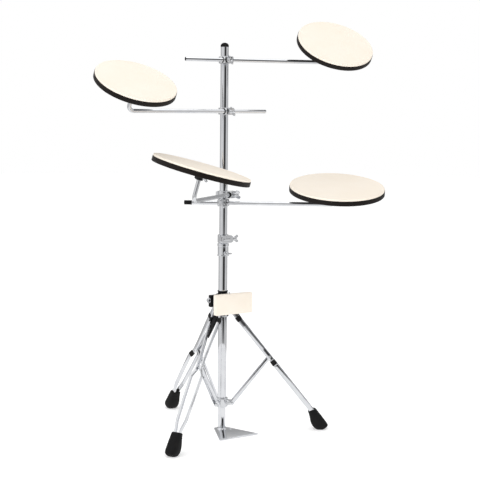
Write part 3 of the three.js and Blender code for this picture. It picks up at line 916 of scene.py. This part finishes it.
def build_strut(leg, middle, axis, along, reach):
    inward = Vector((-along.x, -along.y, along.z))
    pose = local_frame(middle, inward, inward.cross(axis))
    narrow = 4.4 * MM
    wide = 7.8 * MM
    bends = [(-6 * MM, narrow), (32 * MM, narrow), (reach - 34 * MM, wide), (reach + 7 * MM, wide)]
    section = channel(12 * MM, 2.6 * MM, 1.1 * MM, 1.8 * MM)
    body = f"strut_{leg}"
    put(bar_pair(f"{body}_channels", bends, section, CHROME), pose, body, [body])
    tie = disc(f"{body}_tie", 4 * MM, -5.2 * MM, 5.2 * MM, CHROME, 0.4 * MM, 32)
    put(tie, pose @ shift(x=58 * MM) @ turn(90, "X"), body)
    for way in (-1, 1):
        head = dome_head(f"{body}_rivet_{side_tag(way)}", 4.6 * MM, 2.2 * MM, CHROME)
        seat = shift(x=reach, y=way * (wide + 0.8 * MM)) @ turn(-90 * way, "X")
        put(head, pose @ seat, body)


def between_stations(stations, place):
    """Smooth values at a place (station number and fraction) through a list of stations."""
    k = min(int(place), len(stations) - 2)
    t = place - k
    before = stations[max(k - 1, 0)]
    after = stations[min(k + 2, len(stations) - 1)]
    values = []
    for a, b, c, d in zip(before, stations[k], stations[k + 1], after):
        values.append(b + 0.5 * t * (c - a + t * (2 * a - 5 * b + 4 * c - d + t * (3 * (b - c) + d - a))))
    return values


def build_boot():
    """Rubber foot in the leg's frame: slant mouth, heel bulging to the mast, worn level with the floor."""
    top = Vector(JOINTS["leg_right_fold"]["pos_m"])
    along = (Vector(JOINTS["strut_right_fold"]["pos_m"]) - top).normalized()
    length = top.z / -along.z
    slope = math.sqrt(1 - along.z ** 2) / -along.z
    # Each station, in mm: inner edge (back from the floor point, across), outer edge likewise, half width.
    stations = [
        (-86, -9.5, -81, 9, 13), (-85.4, -12, -79, 12.6, 16), (-80, -14.4, -71.5, 14.2, 17.2),
        (-66, -20.2, -56, 14.1, 18.6), (-52, -27.2, -42, 13.9, 19.8), (-42, -30, -30, 13.6, 20.6),
        (-33, -30.2, -20, 13.3, 20.6), (-24, -28.6, -12, 12.6, 19.4), (-15, -24, -8, 11, 16.5),
        (-9, -18, -5.6, 7, 12), (-7, -12, -5, 1, 6),
    ]
    build = bmesh.new()
    rows = []
    sides = 56
    per_station = 8
    count = (len(stations) - 1) * per_station
    for i in range(count + 1):
        inner_x, inner_z, outer_x, outer_z, wide = between_stations(stations, i / per_station)
        groove = 0.5 if i in (18, 19, 22, 23) else 0.0
        row = []
        for j in range(sides):
            angle = 2 * math.pi * j / sides
            power = 0.68
            c = math.copysign(abs(math.cos(angle)) ** power, math.cos(angle))
            s = math.copysign(abs(math.sin(angle)) ** power, math.sin(angle))
            x = length + ((inner_x + outer_x) / 2 + (outer_x - inner_x) / 2 * s) * MM
            z = ((inner_z + outer_z) / 2 + ((outer_z - inner_z) / 2 - groove) * s) * MM
            row.append(build.verts.new((x, (wide - groove) * c * MM, z)))
        rows.append(row)
    for low, high in zip(rows, rows[1:]):
        for j in range(sides):
            build.faces.new([low[j], low[(j + 1) % sides], high[(j + 1) % sides], high[j]])
    build.faces.new(rows[0])
    build.faces.new(rows[-1][::-1])
    floor_point = Vector((length, 0, 0))
    floor_normal = Vector((1, 0, -slope)).normalized()
    whole = build.verts[:] + build.edges[:] + build.faces[:]
    cut = bmesh.ops.bisect_plane(build, geom=whole, plane_co=floor_point, plane_no=floor_normal,
                                 clear_outer=True)
    edges = [item for item in cut["geom_cut"] if isinstance(item, bmesh.types.BMEdge)]
    bmesh.ops.contextual_create(build, geom=edges)
    return object_from("boot_shape", build, BOOT, 50)


def build_foot_plate():
    """Folded steel plate under the post, with a rolled front lip and a short socket."""
    half = span("foot_plate", X_AXIS)[1]
    node_y = span("foot_plate", Y_AXIS)
    top = span("foot_plate", UP)[1]
    thick = 4 * MM
    outline = rounded([(-half, node_y[0], 3 * MM), (half, node_y[0], 3 * MM), (18 * MM, node_y[1], 6 * MM),
                       (-18 * MM, node_y[1], 6 * MM)], 4 * MM, 6)
    sheet = plate("sheet", outline, 0, thick, CHROME, 0.8 * MM)
    lip = disc("lip", 2 * MM, -half + 5 * MM, half - 5 * MM, CHROME, 0.5 * MM, 24)
    moved(lip, shift(y=node_y[0] + 2.4 * MM, z=thick - 0.6 * MM) @ turn(90, "Y"))
    seat = radius_of("foot_post") + 0.2 * MM
    bead = lathe("bead", rounded([
        (seat, thick - 1 * MM), (seat + 6 * MM, thick - 1 * MM), (seat + 3 * MM, thick + 1.2 * MM),
        (seat + 2 * MM, top), (seat, top),
    ], 0.8 * MM, 4), CHROME)
    piece = joined("pedal_foot_plate", sheet, lip, bead)
    put(piece, Matrix(), "stand", ["foot_plate"])
    for way in (-1, 1):
        head = dome_head(f"plate_rivet_{side_tag(way)}", 4 * MM, 1.8 * MM, CHROME)
        put(head, shift(x=way * 21 * MM, y=-22 * MM, z=thick - 0.1 * MM), "stand")


# ---------- kick pad ----------
def build_kick_faces():
    """Gum rubber block on its steel back plate, both facing the player."""
    y_low, y_high = span("kick_rubber", Y_AXIS)
    z_low, z_high = span("kick_rubber", UP)
    half = span("kick_rubber", X_AXIS)[1]
    facing = local_frame((0, 0, (z_low + z_high) / 2), X_AXIS, -Y_AXIS)
    outline = box_outline(2 * half, z_high - z_low, 4 * MM, 6)
    block = plate("kick_rubber_block", outline, -y_high, -y_low, GUM, 2 * MM)
    put(block, facing, "kick_pad", ["kick_rubber"])

    y_low, y_high = span("kick_plate", Y_AXIS)
    z_low, z_high = span("kick_plate", UP)
    half = span("kick_plate", X_AXIS)[1]
    outline = box_outline(2 * half, z_high - z_low, 3 * MM)
    back = plate("kick_back_plate", outline, -y_high, -y_low, STEEL, 0.5 * MM)
    put(back, facing, "kick_pad", ["kick_plate"])


def build_kick_clamp(shaft, left, front, low, high):
    """Plastic clamp block: band on the mast, split ear at the side and neck to the back plate."""
    core = shaft - 1 * MM
    outer = 24 * MM
    corners = [(core, low), (outer, low), (outer, high), (core, high)]
    band = lathe("band", rounded(corners, 2 * MM, 4), MOULDED)
    ear = plate("ear", box_outline(-left, 16 * MM, 3 * MM), low, high, MOULDED, 2 * MM)
    moved(ear, shift(x=left / 2))
    neck = plate("neck", box_outline(28 * MM, -front, 3 * MM), low, high, MOULDED, 2 * MM)
    moved(neck, shift(y=front / 2))
    spread_outline = box_outline(80 * MM, 5.4 * MM, 1.5 * MM)
    spread = plate("spread", spread_outline, low + 2 * MM, high - 2 * MM, MOULDED, 1 * MM)
    moved(spread, shift(y=front + 2.7 * MM))
    opening = bore(shaft + CLEAR, low - 3 * MM, high + 3 * MM)
    gap_outline = box_outline(34 * MM, 1.8 * MM, 0.2 * MM, 1)
    gap = plate("gap", gap_outline, low - 3 * MM, high + 3 * MM, MOULDED, 0)
    moved(gap, shift(x=left + 10 * MM))
    clamp = cast("kick_clamp_block", [band, ear, neck, spread], [opening, gap], MOULDED, 0.6 * MM, 5)
    put(clamp, Matrix(), "kick_pad", ["kick_bracket"])


def build_kick_liner(shaft):
    """Plastic liner on the mast with a lip at its top."""
    low, high = span("kick_liner", UP)
    inner = radius_of("lower_tube") + CLEAR
    skin = shaft - 0.1 * MM
    lip = shaft + 1.4 * MM
    liner = lathe("kick_mast_liner", rounded([
        (inner, low), (skin, low), (skin, high - 3 * MM), (lip, high - 2 * MM), (lip, high), (inner, high),
    ], 0.4 * MM, 3), MOULDED)
    put(liner, Matrix(), "kick_liner", ["kick_liner"])


def build_kick_bolts(left, front, low, high):
    """Side bolt, cross bolt, the plate's two bolts, and the stud with its nut."""
    level = (low + high) / 2 + 3 * MM
    bolt = hex_bolt("kick_side_bolt", 13 * MM, 7 * MM, CHROME)
    put(bolt, local_frame((left - 0.05 * MM, 0, level), UP, -X_AXIS), "kick_pad")
    cross = hex_bolt("kick_cross_bolt", 10 * MM, 5 * MM, CHROME)
    seat = (left + 16 * MM, -8.2 * MM, level - 6 * MM)
    put(cross, local_frame(seat, UP, -Y_AXIS), "kick_pad")
    for way in (-1, 1):
        screw = hex_bolt(f"kick_plate_bolt_{side_tag(way)}", 9 * MM, 4.5 * MM, CHROME)
        seat = (way * 30 * MM, front + 5.4 * MM, (low + high) / 2)
        put(screw, local_frame(seat, UP, Y_AXIS), "kick_pad")
    stud_pose = shift(x=6 * MM, y=-32 * MM, z=high)
    stud = disc("kick_stud", 2.6 * MM, -4 * MM, 10 * MM, CHROME, 0.5 * MM, 24)
    put(stud, stud_pose, "kick_pad")
    nut = hex_bolt("kick_stud_nut", 9 * MM, 5 * MM, CHROME)
    put(nut, stud_pose, "kick_pad")


def build_kick_pad():
    low, high = span("kick_bracket", UP)
    left = span("kick_bracket", X_AXIS)[0]
    front = span("kick_bracket", Y_AXIS)[0]
    shaft = radius_of("kick_liner")
    build_kick_faces()
    build_kick_clamp(shaft, left, front, low, high)
    build_kick_liner(shaft)
    build_kick_bolts(left, front, low, high)


# ---------- stage ----------
VIEW_TURN = math.radians(-33)       # the camera looks this far round from +Y


def seen(right, away, height):
    """Place given as seen from the camera: to its right, away from it, and up."""
    return turn(math.degrees(VIEW_TURN), "Z") @ Vector((right, away, height))


def area_light(name, place, aim, width, height, power):
    data = bpy.data.lights.new(name, "AREA")
    data.shape = "RECTANGLE"
    data.size, data.size_y = width, height
    data.energy = power
    lamp = bpy.data.objects.new(name, data)
    bpy.context.scene.collection.objects.link(lamp)
    lamp.location = place
    lamp.rotation_euler = (Vector(aim) - Vector(place)).to_track_quat("-Z", "Y").to_euler()
    return lamp


# Brightness of the studio round the horizon: degrees to the right of the camera, and the level there.
STUDIO = [(-180, 0.40), (-122, 0.40), (-112, 0.62), (-60, 0.80), (-8, 0.62), (4, 0.05), (50, 0.03),
          (60, 0.62), (112, 0.66), (124, 0.38), (180, 0.40)]
CEILING = 1.05                      # level of the ceiling and of the ground far off
GROUND = 0.55
BRIGHT_FLOOR = 1.12                 # radius of the lit floor that the lower chrome mirrors


def build_world():
    """White backdrop for the camera, and a studio of light and dark walls for the chrome."""
    world = bpy.data.worlds.new("studio")
    bpy.context.scene.world = world
    world.use_nodes = True
    tree = world.node_tree
    nodes, links = tree.nodes, tree.links

    def math_node(operation, *values):
        return wire(tree, "ShaderNodeMath", dict(enumerate(values)), operation=operation).outputs[0]

    def blend(factor, first, second):
        inputs = {"Factor": factor, "A": first, "B": second}
        return wire(tree, "ShaderNodeMix", inputs, data_type="FLOAT").outputs["Result"]

    def smooth(value, low, high):
        inputs = {"Value": value, "From Min": low, "From Max": high}
        return wire(tree, "ShaderNodeMapRange", inputs, interpolation_type="SMOOTHSTEP").outputs["Result"]

    looking = nodes.new("ShaderNodeTexCoord").outputs["Generated"]
    turned = wire(tree, "ShaderNodeMapping", {"Rotation": (0, 0, -VIEW_TURN), "Vector": looking})
    split = nodes.new("ShaderNodeSeparateXYZ")
    links.new(turned.outputs["Vector"], split.inputs["Vector"])
    x, y, z = split.outputs

    azimuth = math_node("ARCTAN2", x, math_node("MULTIPLY", y, -1.0))
    around = math_node("ADD", math_node("DIVIDE", azimuth, 2 * math.pi), 0.5)
    walls = nodes.new("ShaderNodeValToRGB")
    links.new(around, walls.inputs["Fac"])
    ramp = walls.color_ramp
    while len(ramp.elements) > 1:
        ramp.elements.remove(ramp.elements[-1])
    for degrees, level in STUDIO:
        stop = ramp.elements.new(min(1, max(0, degrees / 360 + 0.5)))
        stop.color = (level, level, level, 1)
    ramp.elements.remove(ramp.elements[0])

    def height(degrees):
        return math.sin(math.radians(degrees))

    up = blend(smooth(z, height(22), height(48)), walls.outputs["Color"], CEILING)
    all_round = blend(smooth(z, height(-9), height(-20)), up, GROUND)
    from_camera = nodes.new("ShaderNodeLightPath").outputs["Is Camera Ray"]
    links.new(blend(from_camera, all_round, 1.0), nodes["Background"].inputs["Color"])


def bright_floor():
    """Plain white glow."""
    material = bpy.data.materials.new("bright_floor")
    material.use_nodes = True
    tree = material.node_tree
    tree.nodes.clear()
    glow = wire(tree, "ShaderNodeEmission", {"Strength": 0.95}).outputs[0]
    wire(tree, "ShaderNodeOutputMaterial", {"Surface": glow})
    return material


def build_stage():
    build_world()
    outline = [(0, -0.1 * MM), (BRIGHT_FLOOR, -0.1 * MM), (BRIGHT_FLOOR, 0), (0, 0)]
    lit = lathe("lit_floor", outline, bright_floor(), 96)
    lit.location.z = -0.2 * MM
    lit.visible_camera = lit.visible_diffuse = lit.visible_shadow = lit.visible_transmission = False
    floor = lathe("studio_floor", [(0, -1 * MM), (14, -1 * MM), (14, 0), (0, 0)], floor_finish(), 64)
    floor.location.z = -0.4 * MM
    floor.visible_glossy = False
    aim = seen(0, 0, 0.7)
    key = area_light("key", seen(-2.6, -2.2, 2.8), aim, 1.8, 1.8, 26)
    area_light("top", seen(0, 0.4, 3.4), aim, 2.4, 2.4, 10)
    fill = area_light("fill", seen(1.4, -3.6, 0.9), aim, 2.4, 2.0, 34)
    fill.visible_glossy = False
    key.visible_glossy = False
    bpy.context.scene.view_settings.view_transform = "Standard"


def build_camera():
    """Camera at the photograph's place: far back, chest high, tipped slightly down."""
    data = bpy.data.cameras.new("camera")
    data.sensor_width = 36
    data.lens = 87.18
    data.clip_end = 60
    camera = bpy.data.objects.new("camera", data)
    bpy.context.scene.collection.objects.link(camera)
    pitch, yaw, roll = math.radians(6.740), math.radians(-1.206), math.radians(0.573)
    ahead = Vector((math.sin(yaw) * math.cos(pitch), math.cos(yaw) * math.cos(pitch), -math.sin(pitch)))
    right = Vector((math.cos(yaw), -math.sin(yaw), 0))
    above = right.cross(ahead)
    tipped_right = right * math.cos(roll) + above * math.sin(roll)
    tipped_up = above * math.cos(roll) - right * math.sin(roll)
    pose = Matrix((tipped_right, tipped_up, -ahead)).transposed().to_4x4()
    pose.translation = Vector((0.134, -3.757, 1.078))
    camera.matrix_world = turn(math.degrees(VIEW_TURN), "Z") @ pose
    bpy.context.scene.camera = camera


# ---------- everything ----------
def build_all():
    build_camera()
    build_stage()
    build_mast()
    build_tube_sleeve()
    build_memory_lock()
    shapes = build_arm_shapes()
    for name in ARMS:
        build_arm(name, shapes)
    for shape in shapes.values():
        bpy.data.objects.remove(shape, do_unlink=True)
    build_collars()
    boot = build_boot()
    for leg in LEGS:
        build_leg(leg, boot)
    bpy.data.objects.remove(boot, do_unlink=True)
    build_foot_plate()
    build_kick_pad()


build_all()
